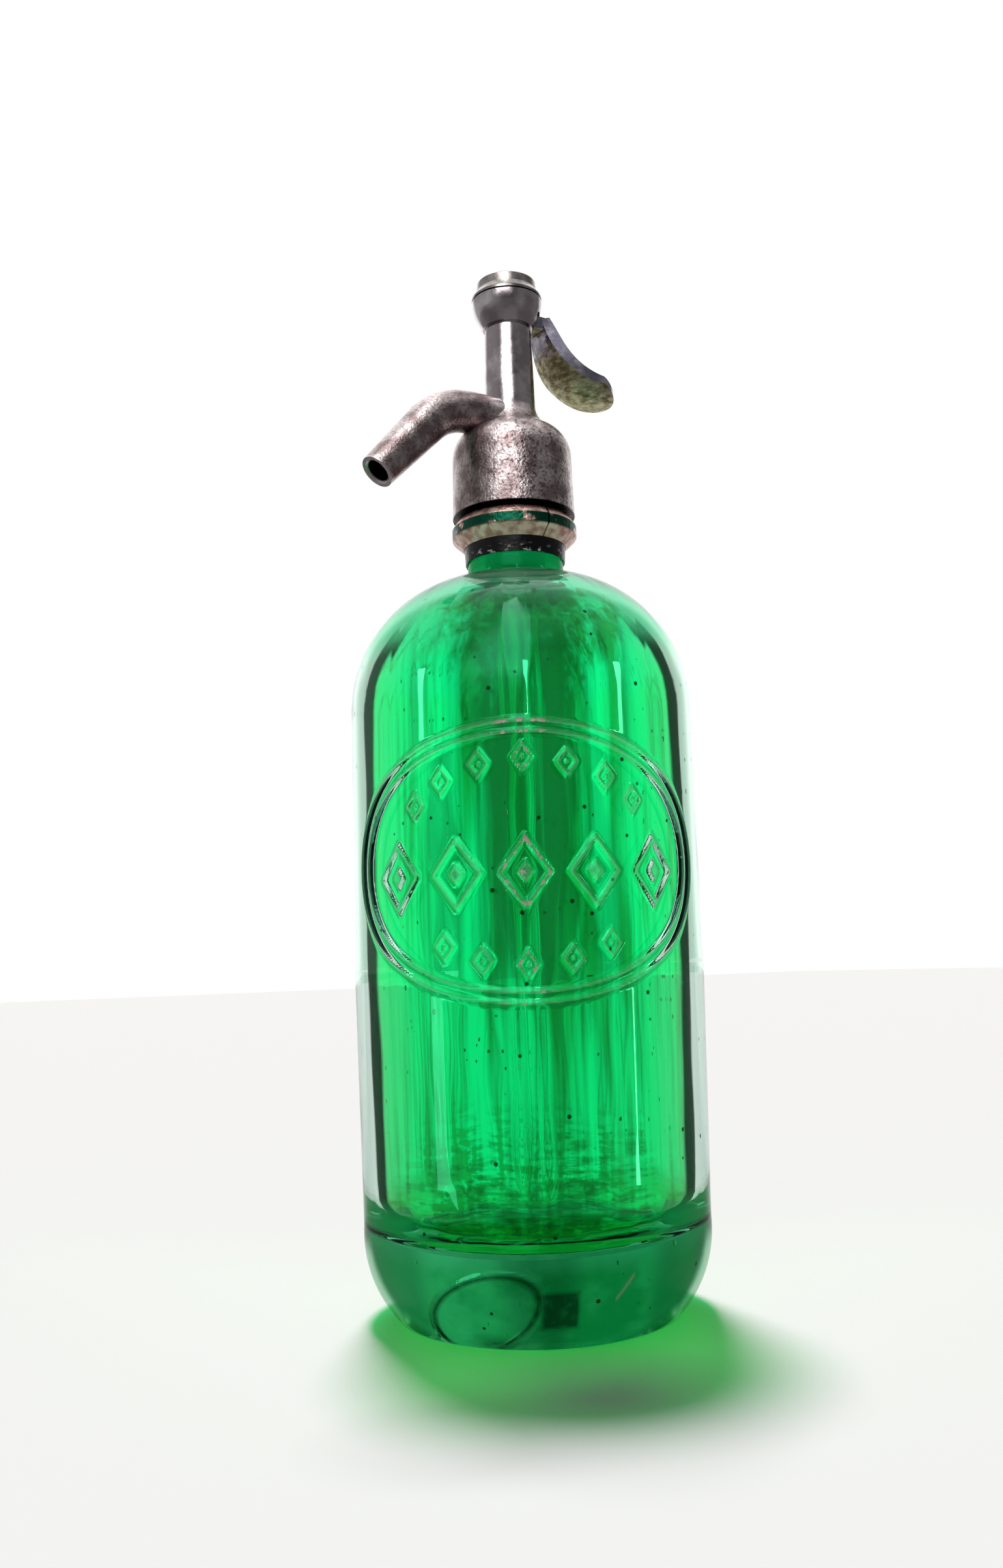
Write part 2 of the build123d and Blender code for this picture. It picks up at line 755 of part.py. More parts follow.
with BuildPart() as lever:
    for reach, drop, slope, width, rim, upper, lower in arm_sections:
        heading = (cos(radians(slope)), 0, -sin(radians(slope)))
        centre = (
            arm_reach + reach * reach_span,
            0,
            pivot_height - drop * paddle_drop,
        )
        with BuildSketch(Plane(origin=centre, x_dir=(0, 1, 0), z_dir=heading)):
            with BuildLine():
                under = ThreePointArc((-width / 2, -rim / 2), (0, lower), (width / 2, -rim / 2))
                near_rim = Line(under @ 1, (width / 2, rim / 2))
                over = ThreePointArc(near_rim @ 1, (0, upper), (-width / 2, rim / 2))
                Line(over @ 1, under @ 0)
            make_face()
    loft()
    add(paddle_plan.part, mode=Mode.INTERSECT)
    # Boss round the pin, and the tongue with its rounded nose, forked round the valve rod.
    with BuildSketch(Plane.XZ):
        with Locations((pivot_reach, pivot_height)):
            Circle(boss_radius)
            with Locations((arm_start / 2, 0)):
                Rectangle(arm_start, 2 * boss_radius * 0.8)
            with Locations((-pivot_reach / 2, 0)):
                Rectangle(pivot_reach, tongue_thickness)
        with Locations((0, pivot_height)):
            Circle(nose_radius)
    extrude(amount=tongue_width / 2, both=True)
    fork_half = rod_thread_radius + fork_gap
    with BuildSketch(Plane.XY.offset(pivot_height - 2 * boss_radius)):
        Circle(fork_half)
        with Locations((-pivot_reach / 2, 0)):
            Rectangle(pivot_reach, 2 * fork_half)
        with Locations((lift_play, 0)):
            Circle(fork_half)
    extrude(amount=4 * boss_radius, mode=Mode.SUBTRACT)
    with BuildSketch(Plane.XZ):
        with Locations((pivot_reach, pivot_height)):
            Circle(pin_radius + running_play)
    extrude(amount=paddle_width, both=True, mode=Mode.SUBTRACT)
save(lever, "lever")

with BuildPart() as lever_pin:
    with BuildSketch(Plane.XZ):
        with Locations((pivot_reach, pivot_height)):
            Circle(pin_radius)
    extrude(amount=pin_length / 2, both=True)
    chamfer(lever_pin.edges().filter_by(GeomType.CIRCLE), pin_radius * 0.25)
save(lever_pin, "lever_pin")
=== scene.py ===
# %% [markdown]
# # Soda siphon
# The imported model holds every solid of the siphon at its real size. This lesson puts a camera and a
# plain studio round it, blows the glass anew with its soft arrises, bubbles and moulded oval, and
# then gives each metal, rubber and glass surface the finish of a siphon that has been used for
# years.

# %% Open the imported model
from math import acos, cos, degrees, pi, radians, sin, sqrt

import bpy
import numpy as np
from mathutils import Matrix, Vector


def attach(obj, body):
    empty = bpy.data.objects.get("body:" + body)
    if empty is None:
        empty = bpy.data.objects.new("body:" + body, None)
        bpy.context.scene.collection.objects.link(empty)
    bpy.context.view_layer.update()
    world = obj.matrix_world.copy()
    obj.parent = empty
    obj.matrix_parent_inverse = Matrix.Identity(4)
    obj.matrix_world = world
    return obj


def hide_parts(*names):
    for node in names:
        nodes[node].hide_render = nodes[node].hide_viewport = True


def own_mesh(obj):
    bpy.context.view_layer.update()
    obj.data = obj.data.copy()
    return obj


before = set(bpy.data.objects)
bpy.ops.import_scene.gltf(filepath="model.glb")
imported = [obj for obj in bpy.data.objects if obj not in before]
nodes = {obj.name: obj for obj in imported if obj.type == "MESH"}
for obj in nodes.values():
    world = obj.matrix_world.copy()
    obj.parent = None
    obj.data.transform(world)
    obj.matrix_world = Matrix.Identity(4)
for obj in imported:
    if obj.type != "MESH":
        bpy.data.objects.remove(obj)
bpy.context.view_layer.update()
mm = 0.001

# %% [markdown]
# The siphon is looked at from the left of its spout, from about a third of its height, with the
# camera tipped up a little. A wide lens close by makes the neck look small and the foot look near,
# so the lens is as much a part of the likeness as the direction is.

# %% Camera
standpoint = (-0.21243, -0.32712, 0.09620)
tip, roll, heading = radians(97.724), radians(1.784), radians(-31.838)
bpy.ops.object.camera_add(location=standpoint, rotation=(tip, roll, heading))
camera = bpy.context.object
camera.data.sensor_width = 36.0
camera.data.lens = 30.69
scene = bpy.context.scene
scene.camera = camera
scene.view_settings.view_transform = "Standard"
front_azimuth = radians(237.0)  # the way that the moulded oval faces, and nearly the camera's side
front = Vector((cos(front_azimuth), sin(front_azimuth), 0))
rightward = Vector((-front.y, front.x, 0))
print("camera stands", round(camera.location.length / mm), "mm from the foot")

# %% [markdown]
# Shader maths is easier to read as sums than as a web of nodes. A `Wire` is the output of a node,
# and `+ - * /` on it add Math nodes. A `Board` is a tree of nodes with one method that adds any
# node.


# %% Sums on wires
class Wire:
    """The output of a shader node, which can be used in sums."""

    def __init__(self, board, socket):
        self.board, self.socket = board, socket

    def maths(self, operation, *values):
        return self.board.node("Math", {"operation": operation}, values)

    def __add__(self, other):
        return self.maths("ADD", self, other)

    def __mul__(self, other):
        return self.maths("MULTIPLY", self, other)

    def __sub__(self, other):
        return self.maths("SUBTRACT", self, other)

    def __rsub__(self, other):
        return self.maths("SUBTRACT", other, self)

    def __truediv__(self, other):
        return self.maths("DIVIDE", self, other)

    def root(self):
        return self.maths("SQRT", self)

    def size(self):
        """The value without its sign."""
        return self.maths("ABSOLUTE", self)

    def beside(self, output):
        """Another output of the same node."""
        return Wire(self.board, self.socket.node.outputs[output])

    __radd__ = __add__
    __rmul__ = __mul__


class Board:
    """A tree of shader nodes."""

    def __init__(self, tree):
        self.tree = tree
        tree.nodes.clear()

    def node(self, kind, settings=(), values=(), output=0):
        """Adds a node, sets it, fills its inputs with numbers or wires, and returns one output."""
        made = self.tree.nodes.new("ShaderNode" + kind)
        for name, value in dict(settings).items():
            setattr(made, name, value)
        for key, value in values.items() if isinstance(values, dict) else enumerate(values):
            if isinstance(value, Wire):
                self.tree.links.new(value.socket, made.inputs[key])
            else:
                made.inputs[key].default_value = value
        return Wire(self, made.outputs[output]) if len(made.outputs) else None

    def mix(self, share, first, second):
        """A colour that goes from the first to the second."""
        return self.node("Mix", {"data_type": "RGBA"}, {0: share, 6: first, 7: second}, 2)

    def rise(self, value, low, high):
        """0 below low, 1 above high, and a soft step between them."""
        limits = {"Value": value, "From Min": low, "From Max": high}
        return self.node("MapRange", {"interpolation_type": "SMOOTHSTEP"}, limits)

    def parts(self, vector):
        """The three numbers of a vector, each as a wire."""
        split = self.node("SeparateXYZ", (), [vector])
        return [split.beside(axis) for axis in "XYZ"]

    def clamp(self, value):
        """The value, kept from 0 to 1."""
        return self.node("Clamp", (), [value])


def paint(red, green, blue):
    """A colour as a screen shows it, 0 to 255, in the linear numbers that shaders take."""
    shares = [part / 255 for part in (red, green, blue)]
    return (*[s / 12.92 if s <= 0.04045 else ((s + 0.055) / 1.055) ** 2.4 for s in shares], 1)


print("half grey in linear numbers:", [round(part, 3) for part in paint(128, 128, 128)])

# %% [markdown]
# The studio is a pale floor in soft light. Polished metal and glass show what stands round them, so
# the world gives each kind of ray its own room. The eye sees plain white. To mirrored rays the room
# is dark, with a high window in front, a white wall behind, and some light overhead and at both
# sides. Refracted rays see a room that is dim straight on, brighter beside that, and darker and
# greener far to the sides. One picture of a room could serve them all, but then no part could be
# set alone.

# %% World
world = bpy.data.worlds.new("studio")
world.use_nodes = True
scene.world = world
sky = Board(world.node_tree)
east, north, up = sky.parts(sky.node("TexCoord", output="Generated"))
level = (1.0001 - up * up).root()
ahead = (east * front.x + north * front.y) / level
aside = (east * rightward.x + north * rightward.y) / level
off_centre = aside.size()

window_side = sky.rise(ahead * 0.985 - aside * 0.17, 0.87, 0.985)  # 10 degrees left of the front
window = window_side * sky.rise(up, 0.16, 0.36)
wall_behind = 1 - sky.rise(ahead, -0.88, -0.58)
left_side = 1 - sky.rise(aside, -0.95, -0.55)
overhead = sky.rise(up, 0.55, 0.85)
dim_left = 1 - sky.rise(aside, -0.9, 0.1)
dim_right = sky.rise(aside, 0.1, 0.9)
mirrored = 0.09  # the dark of the room
for region, light in (
    (window, 3.7),
    (dim_right, 0.08),
    (wall_behind, 1.2),
    (left_side, 0.2),
    (dim_left, 0.14),
    (overhead, 0.65),
):
    mirrored = mirrored + region * light

beside_centre, far_aside = sky.rise(off_centre, 0.05, 0.19), sky.rise(off_centre, 0.38, 0.55)
behind_glass = 0.70 + beside_centre * 0.52 - far_aside * 0.45
is_camera = sky.node("LightPath", output="Is Camera Ray")
is_glossy = is_camera.beside("Is Glossy Ray")
is_through = is_camera.beside("Is Transmission Ray")
soft_light = 0.07
strength = is_through * behind_glass + (1 - is_through) * (
    is_glossy * mirrored + (1 - is_glossy) * (is_camera + (1 - is_camera) * soft_light)
)
greener = is_through * sky.rise(off_centre, 0.3, 0.6)
seen_colour = sky.mix(greener, (1, 1, 1, 1), (0.82, 0.98, 0.86, 1))
background = sky.node("Background", (), {"Color": seen_colour, "Strength": strength})
sky.node("OutputWorld", (), [background])
print("world:", len(sky.tree.nodes), "nodes")

# %% [markdown]
# A broad sun high behind the siphon gives the floor its light and draws the green shadow forward.
# The upright softboxes only make highlights. They are linked to the glass alone and are seen only
# in its mirrored rays, so they draw lines of light on its arrises and leave the floor and the metal
# as they are.

# %% Floor and lamps
bpy.ops.mesh.primitive_plane_add(size=12.0)
floor = bpy.context.object
floor.name = "floor"
lamps_aim_at = Vector((0, 0, 0.12))


def stand(name, kind, turn, elevation, distance):
    """A lamp that faces the siphon, turned in degrees from the way that the oval faces."""
    around, rise = front_azimuth + radians(turn), radians(elevation)
    ray = Vector((cos(around) * cos(rise), sin(around) * cos(rise), sin(rise)))
    aim = (-ray).to_track_quat("-Z", "Y").to_euler()
    bpy.ops.object.light_add(type=kind, location=ray * distance + lamps_aim_at, rotation=aim)
    lamp = bpy.context.object
    lamp.name = name
    return lamp


sun = stand("sun", "SUN", turn=-170, elevation=72, distance=1.0)
sun.data.angle, sun.data.energy = radians(11), 3.0
sun.visible_glossy = sun.visible_transmission = False
glass_only = bpy.data.collections.new("lit_by_softboxes")
softboxes = {  # turn, width, lowest and highest edge, strength
    "softbox_front_high": (4, 0.011, 0.195, 0.275, 16.0),
    "softbox_left_low": (-50, 0.085, 0.0, 0.092, 5.0),
    "softbox_left_high": (-62, 0.020, 0.19, 0.27, 12.0),
    "softbox_right_low": (62, 0.014, 0.0, 0.097, 14.0),
    "softbox_right_high": (62, 0.018, 0.19, 0.27, 14.0),
}
for name, (turn, width, bottom, top, radiance) in softboxes.items():
    lamp = stand(name, "AREA", turn, elevation=0, distance=0.25)
    lamp.location.z = (bottom + top) / 2
    lamp.data.shape, lamp.data.size, lamp.data.size_y = "RECTANGLE", width, top - bottom
    lamp.data.energy = radiance * pi * width * (top - bottom)
    lamp.visible_camera = lamp.visible_diffuse = lamp.visible_transmission = False
    lamp.light_linking.receiver_collection = glass_only
print("lamps:", "sun,", ", ".join(softboxes))


# %% [markdown]
# Every finish starts from the Principled shader. `Finish` makes the material, gives it a place on
# the object to hang patterns on, and has the two things that old surfaces need most: blotches of a
# given size, and bumps of a given depth. It can also lay matt films over the surface, and let lamps
# shine through glass, which would otherwise cast a black shadow.


# %% Finishes
class Finish(Board):
    """A material whose Principled shader takes numbers and wires alike."""

    def __init__(self, name, **plain):
        self.material = bpy.data.materials.new(name)
        self.material.use_nodes = True
        super().__init__(self.material.node_tree)
        self.place = self.node("TexCoord", output="Object")
        self.x, self.y, self.z = self.parts(self.place)
        self.shader = self.node("BsdfPrincipled")
        self.set(**plain)

    def set(self, **values):
        """Sets the shader's sockets: base_color=..., roughness=..."""
        for name, value in values.items():
            title = name.replace("_", " ").title().replace("Ior", "IOR")
            socket = self.shader.socket.node.inputs[title]
            if isinstance(value, Wire):
                self.tree.links.new(value.socket, socket)
            else:
                socket.default_value = value

    def blotches(self, size, detail=3.0, stretch=1.0, shift=0.0):
        """Noise from 0 to 1 whose blotches are about size across, and stretch times as tall."""
        scale = (1 / size, 1 / size, 1 / (size * stretch))
        moved = {"Vector": self.place, "Location": (shift,) * 3, "Scale": scale}
        noise = {"Vector": self.node("Mapping", (), moved), "Scale": 1.0, "Detail": detail}
        return self.node("TexNoise", (), noise)

    def bump(self, height, depth):
        """Sets the surface's bumps: height from 0 to 1, depth in metres."""
        self.set(normal=self.node("Bump", (), {"Height": height, "Distance": depth}))

    def face_normal(self):
        """The way that the surface points, in three wires."""
        return self.parts(self.node("TexCoord", output="Normal"))

    def matt(self, colour, roughness=1.0):
        """A shader without any gloss, in one colour."""
        return self.node("BsdfDiffuse", (), {"Color": colour, "Roughness": roughness})

    def see_through(self, colour):
        """A shader that only tints what is behind it."""
        return self.node("BsdfTransparent", (), {"Color": colour})

    def layer(self, share, below, above):
        """One shader over another, which covers a share of it."""
        return self.node("MixShader", (), [share, below, above])

    def lit_through(self, surface, tint):
        """The surface as it is, except that light from the lamps goes through it with a tint."""
        is_shadow = self.node("LightPath", output="Is Shadow Ray")
        return self.layer(is_shadow, surface, self.see_through(tint))

    def show(self, surface=None, volume=None):
        """Wires the finished surface to the material's output."""
        end = self.tree.nodes.new("ShaderNodeOutputMaterial")
        self.tree.links.new((surface or self.shader).socket, end.inputs["Surface"])
        if volume:
            self.tree.links.new(volume.socket, end.inputs["Volume"])
        print(self.material.name, "has", len(self.tree.nodes), "nodes")
        return self.material


# %% [markdown]
# The floor is a pale sheet. Seen in the metal and the glass it is a darker grey, so that their
# lower sides keep their depth. Right behind the siphon it stays pale there too, since the edges of
# the glass mirror that part. A second floor for mirrors would need a hidden object, so one colour
# makes way for another here.

# %% Pale floor
pale = Finish("pale_floor", roughness=0.85, specular_ior_level=0.2)
is_glossy_ray = pale.node("LightPath", output="Is Glossy Ray")
is_mirrored = is_glossy_ray * (1 - is_glossy_ray.beside("Is Transmission Ray"))
forward = pale.x * front.x + pale.y * front.y
sideways = (pale.x * rightward.x + pale.y * rightward.y).size() + forward
beyond = pale.rise(0 - forward, 0.0, 0.12) * (1 - pale.rise(sideways, -0.10, 0.05))
in_mirrors = pale.mix(beyond, paint(112, 110, 112), paint(226, 226, 224))
pale.set(base_color=pale.mix(is_mirrored, paint(246, 245, 243), in_mirrors))
floor.data.materials.append(pale.show())

# %% [markdown]
# The bottle is thick pressed glass: a round foot, twelve flat panels with soft arrises, a low round
# shoulder and a beaded neck. It could be spun from its outline, but a spun wall can't carry the
# panels and the raised oval. So the outline is first written as points from the foot's middle, over
# the outside, into the neck and down the inside, and one sheet of faces is then rolled up round it.


# %% The bottle's outline
def arc(centre, radius, start, end, steps):
    """Points on an arc of the outline, in mm, with angles in degrees."""
    turns = np.radians(np.linspace(start, end, steps + 1))
    return [(centre[0] + radius * cos(t), centre[1] + radius * sin(t)) for t in turns]


def arc_through(first, middle, last, steps):
    """Points on the arc that passes through three points."""
    system = [(2 * r, 2 * z, 1) for r, z in (first, middle, last)]
    squares = [r * r + z * z for r, z in (first, middle, last)]
    cr, cz, rest = np.linalg.solve(system, squares)
    start, end = (degrees(np.arctan2(z - cz, r - cr)) for r, z in (first, last))
    end += 360 * round((start - end) / 360)
    return arc((cr, cz), sqrt(rest + cr * cr + cz * cz), start, end, steps)


def run(first, last, steps):
    """Points on a straight stretch of the outline."""
    return [tuple(point) for point in np.linspace(first, last, steps + 1)]


shoulder_turn = degrees(acos(4.3 / 40))  # where the shoulder's arc would meet the neck
outside = [
    *arc_through((0, 6.5), (23.16, 4.42), (36.6, 0.15), 8),  # hollow of the foot
    *arc((37.6, 0.55), 0.55, -120, -60, 3),  # ring that it stands on
    *arc_through((38.9, 0.35), (45.8, 10.4), (48.6, 26), 42),  # round heel
    *run((48.6, 26), (49.73, 82), 10),  # wall, which widens a little
    *run((49.75, 83), (50, 95), 21),
    *run((50, 95), (50, 163), 120),  # wall with the oval, in small steps
    *run((50, 163), (50, 170), 3),
    *arc((10, 170), 40, 0, shoulder_turn - 3.4, 26),  # shoulder
    *arc((15.9, 211.3), 1.6, 268, 180, 5),  # hollow between shoulder and neck
    *run((14.3, 211.6), (14.3, 215.2), 3),  # neck
    *run((14.2, 215.5), (12.2, 216.9), 2),
    *run((12.2, 217.5), (12.2, 230.07), 3),
    *arc((13.4, 231.27), 1.2, -90, 0, 4),  # bead
    *arc((13.4, 239.17), 1.2, 0, 90, 4),
    *arc((9.8, 239.57), 0.8, 90, 180, 3),  # mouth
]
inside = [
    *run((9, 238), (9, 207), 6),  # neck
    *arc((10, 170), 36, 88, 0, 16),  # shoulder
    *run((46, 167), (46, 95), 14),  # wall
    *run((45.95, 92), (44.6, 35), 12),
    *arc((32.6, 35), 12, 0, -90, 11),  # corner above the base
    *arc_through((32, 23.05), (17.84, 24.75), (0, 25.5), 8),  # floor of the cavity
]
outline = np.array(outside + inside)
inner = np.arange(len(outline)) >= len(outside)
print("outline:", len(outside), "points outside,", len(inside), "inside")

# %% [markdown]
# The raised work is a height for each point of the wall, from how far round it lies and how high.
# Two ridges run round an oval, with lozenges in place of any words: five large ones in a row and
# small ones that follow the ridge. Each ridge has a round back, as glass leaves a mould.


# %% Raised work of the oval
oval_height, half_height, half_angle, relief = 122.6, 37.0, 64.0, 0.85
wall_mm = 50 * radians(1)  # mm along the wall for each degree round it


def ridge(distance, half_width):
    """A ridge with a round back: 1 on its middle line and 0 beyond its half width."""
    across = np.clip(np.abs(distance) / half_width, 0, 1)
    return (1 - across**2) ** 1.5


def lozenge(across, height, width, tall, stroke):
    """The outline of a lozenge with a small solid one in its middle."""
    reach = np.abs(across) / (width / 2) + np.abs(height) / (tall / 2)
    scale = width * tall / (2 * sqrt(width**2 + tall**2))  # mm from the middle to an edge
    outline_ridge = ridge((reach - 1) * scale + stroke / 2, stroke * 0.66)
    heart_reach, heart_slope = 0.36, 0.7  # a share of the lozenge, and mm
    heart = np.clip((heart_reach - reach) * scale / heart_slope, 0, 1)
    return np.maximum(outline_ridge, heart * heart * (3 - 2 * heart))


def raised_work(turn, height):
    """Height of the raised work in mm, and q, which is 1 on the oval's outer edge.

    The turn is in degrees from the oval's middle, and the height in mm.
    """
    up = height - oval_height
    q = np.sqrt((turn / half_angle) ** 2 + (up / half_height) ** 2)
    work = np.maximum(ridge(q - 0.979, 0.028), ridge(q - 0.902, 0.026))
    for place in range(-2, 3):
        there = (turn - 21 * place) * wall_mm, up + 3
        work = np.maximum(work, lozenge(*there, width=15.0, tall=20.0, stroke=1.5))
    for places, side in ((range(-3, 4), 1), (range(-2, 3), -1)):
        for place in places:
            angle = radians(18 * place)
            there = (turn - 43 * sin(angle)) * wall_mm, up - side * 26.5 * cos(angle)
            work = np.maximum(work, lozenge(*there, width=6.4, tall=8.4, stroke=1.15))
    return relief * work, q


print("oval:", round(2 * half_angle * wall_mm), "mm along the wall,", 2 * half_height, "mm tall")

# %% [markdown]
# The panels are flat cuts that leave a narrow round arris between them. They stop at the oval, and
# fade out above the heel, below the neck and on the two sides, where the glass has blown out nearly
# round. A boolean would cut them with hard edges. A soft minimum of the round wall and the flat cut
# gives the fire-polished edge that real arrises have. The inside is slightly wavy, because glass
# that is blown against a mould is smooth only where it touches, and it is calmer on the sides too.


# %% Panels and waves
arris_softness = 0.35  # mm
heel_top = 30  # mm
heel_mm = 0.82  # mm along the heel for each degree round it
waves = (  # how many go round, size in mm, lean
    (2, 0.10, 0.004),
    (5, 0.09, -0.011),
    (9, 0.07, 0.006),
    (14, 0.05, -0.004),
    (23, 0.035, 0.009),
    (38, 0.02, -0.003),
)


def soft_least(first, second):
    """The smaller of two lengths, rounded where they meet."""
    least = np.minimum(first, second)
    near = [np.exp(-(length - least) / arris_softness) for length in (first, second)]
    return least - arris_softness * np.log(near[0] + near[1])


def broadside(turn):
    """1 on the front and the back, and 0 on the sides, where the glass has blown out round."""
    return np.clip((np.abs(np.cos(np.radians(turn))) - 0.70) / 0.18, 0, 1)


def heel_mark(turn, height):
    """Distance in mm from the oval line that the gathering iron left on the heel."""
    tilt, half_long, half_tall, mean_radius = radians(-24), 17.0, 9.5, 11
    side, up = (turn + 19) * heel_mm, height - 9.5
    along, across = side * cos(tilt) - up * sin(tilt), side * sin(tilt) + up * cos(tilt)
    return (np.hypot(along / half_long, across / half_tall) - 1) * mean_radius


def wall_radius(turn, height, radius):
    """The outer radius in mm, with panels, oval and the line on the heel."""
    depth = np.interp(height, (26, 45), (0, 1.1))
    in_panel = np.radians((turn % 30) - 15)
    arc_radius, arc_height = 38.9, 171.1  # of the flats where they bend over the shoulder
    over = np.clip(height - arc_height, 0, None)
    on_arc = 10 + np.sqrt(np.clip(arc_radius**2 - over**2, 0, None))
    panel = np.where(height > arc_height, on_arc, radius - depth) / np.cos(in_panel)
    fade, flatness, line_relief = 0.3, 0.72, 0.5
    given_back = arris_softness * np.log(2) * np.exp(-np.abs(radius - panel) / fade)
    cut = soft_least(radius, panel) + given_back  # the crest of an arris stays where it was
    work, q = raised_work(turn, height)
    in_oval = 1 - np.clip((q - 0.985) / 0.02, 0, 1)
    above_heel, below_neck = np.clip((height - 27) / 14, 0, 1), np.clip((211 - height) / 4, 0, 1)
    share = flatness * broadside(turn) * above_heel * below_neck
    wall = radius + (cut - radius) * share * (1 - in_oval)
    line = line_relief * ridge(heel_mark(turn, height), 1.1) * np.clip(height / 2, 0, 1)
    return wall + work * (q < 1.2) + line * (height < heel_top)


def inner_wave(turn, height):
    """How far the inner wall strays from round, in mm."""
    stray = 0
    for count, size, lean in waves:
        phase = np.radians(turn * count) + count * 1.7 + lean * count * height
        stray = stray + size * np.sin(phase)
    return stray * (0.12 + 0.88 * broadside(turn))


panel_depth = 50 - wall_radius(turn=15.0, height=60.0, radius=50.0)
print("a panel lies", round(float(panel_depth), 2), "mm inside the round wall")

# %% [markdown]
# The heel tells how the bottle was made and used. It carries the oval line of the iron that
# gathered the glass, a square of old label glue, a brown foot and one pale scratch. They could be
# pictures on the glass, but a number at each point of the mesh needs no picture, and the material
# reads it as an attribute.


# %% Marks on the heel
def heel_dirt(turn, height):
    """How dark the glass is on the heel: the line, a square of old label glue and a brown foot."""
    line = ridge(heel_mark(turn, height) + 0.5, 1.1)
    from_glue = np.maximum(np.abs(turn - 6.2) * heel_mm, np.abs(height - 11.2))
    square = np.clip((5.4 - from_glue) / 1.1, 0, 1)
    foot = np.clip(1.25 - np.hypot((turn + 16) / 11, (height - 1.5) / 3.2), 0, 1)
    darkest = np.maximum(np.maximum(line, square * 0.95), foot * 0.9)
    return np.clip(darkest, 0, 1) * (height < heel_top)


def scratch(turn, height):
    """A pale scratch on the right of the heel, which climbs to the right."""
    along, up, reach = turn - 24, height - 13.2, 5.2
    share = np.clip((along * reach + up * reach) / 54, 0, 1)
    away = np.hypot((along - reach * share) * heel_mm, up - reach * share)
    return np.clip(1.3 - away / 0.45, 0, 1)


print("glue at its middle:", float(heel_dirt(turn=6.2, height=11.2)))

# %% [markdown]
# Now the sheet: a grid with one column for each turn and one row for each point of the outline. Its
# columns stand closest together over the oval. Each point is put where the outline and the turn
# say, then the seam and the two middles are merged, and the shell is closed.

# %% Roll up the glass
turns = np.concatenate([np.linspace(-66, 66, 199)[:-1], np.linspace(66, 294, 77)])
columns, rows = len(turns) - 1, len(outline) - 1
bpy.ops.object.select_all(action="DESELECT")
bpy.ops.mesh.primitive_grid_add(x_subdivisions=columns, y_subdivisions=rows, size=2)
bottle = bpy.context.object
bottle.name = "blown_bottle"
sheet = np.array([v.co for v in bottle.data.vertices])
column = np.rint((sheet[:, 0] + 1) / 2 * columns).astype(int)
row = np.rint((sheet[:, 1] + 1) / 2 * rows).astype(int)
turn, (radius, height), on_inside = turns[column], outline[row].T, inner[row]
measured = (turn + 180) % 360 - 180
on_wall = ~on_inside & (height > 0.5) & (height < 212) & ((radius > 38) | (height > 100))
waved = radius + inner_wave(measured, height) * np.clip((radius - 20) / 20, 0, 1)
plain = np.where(on_inside, waved, radius)
radius = np.where(on_wall, wall_radius(measured, height, radius), plain)
around = front_azimuth + np.radians(turn)
places = np.stack([radius * np.cos(around), radius * np.sin(around), height], 1) * mm
bottle.data.vertices.foreach_set("co", places.astype(np.float32).ravel())
marks = {
    "lining": on_inside,
    "dirt": on_wall * heel_dirt(measured, height),
    "scratch": on_wall * scratch(measured, height),
}
for name, values in marks.items():
    mark = bottle.data.attributes.new(name, "FLOAT", "POINT")
    mark.data.foreach_set("value", values.astype(np.float32))
bpy.ops.object.mode_set(mode="EDIT")
bpy.ops.mesh.select_all(action="SELECT")
bpy.ops.mesh.remove_doubles(threshold=1e-6)
bpy.ops.mesh.normals_make_consistent(inside=False)
bpy.ops.object.mode_set(mode="OBJECT")
bpy.ops.object.shade_smooth()
print("glass:", len(bottle.data.polygons), "faces")

# %% [markdown]
# Old glass is full of seeds, which are small bubbles drawn tall by blowing. A bubble is a hole in
# the glass, so it is a small ball whose faces point into the hole. Most lie in the middle of the
# wall, and every sixth in the thick base. A pattern in the material could draw them, but only a
# real hole bends the light. Each ball is added, drawn tall and turned inside out, and all are
# joined to the bottle.

# %% Bubbles
chance = np.random.default_rng(7)
wall_middle = 47.9  # mm from the axis
bubbles = []
for number in range(80):
    in_base = number % 6 == 0
    size = 0.16 + 0.34 * chance.random() ** 3
    angle = chance.uniform(0, 2 * pi)
    level_mm = chance.uniform(6, 20) if in_base else chance.uniform(40, 172)
    reach_mm = chance.uniform(8, 38) if in_base else wall_middle
    spot = Vector((reach_mm * cos(angle), reach_mm * sin(angle), level_mm)) * mm
    bpy.ops.mesh.primitive_ico_sphere_add(subdivisions=2, radius=size * mm, location=spot)
    bubble = bpy.context.object
    bubble.scale.z = chance.uniform(1.0, 2.6)
    bpy.ops.object.mode_set(mode="EDIT")
    bpy.ops.mesh.flip_normals()
    bpy.ops.object.mode_set(mode="OBJECT")
    bpy.ops.object.shade_smooth()
    bubbles.append(bubble)
bpy.ops.object.select_all(action="DESELECT")
for bubble in bubbles:
    bubble.select_set(True)
bottle.select_set(True)
bpy.context.view_layer.objects.active = bottle
bpy.ops.object.join()
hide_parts("glass_bottle")
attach(bottle, "bottle")
glass_only.objects.link(bottle)
print("bubbles:", len(bubbles), "glass now has", len(bottle.data.polygons), "faces")
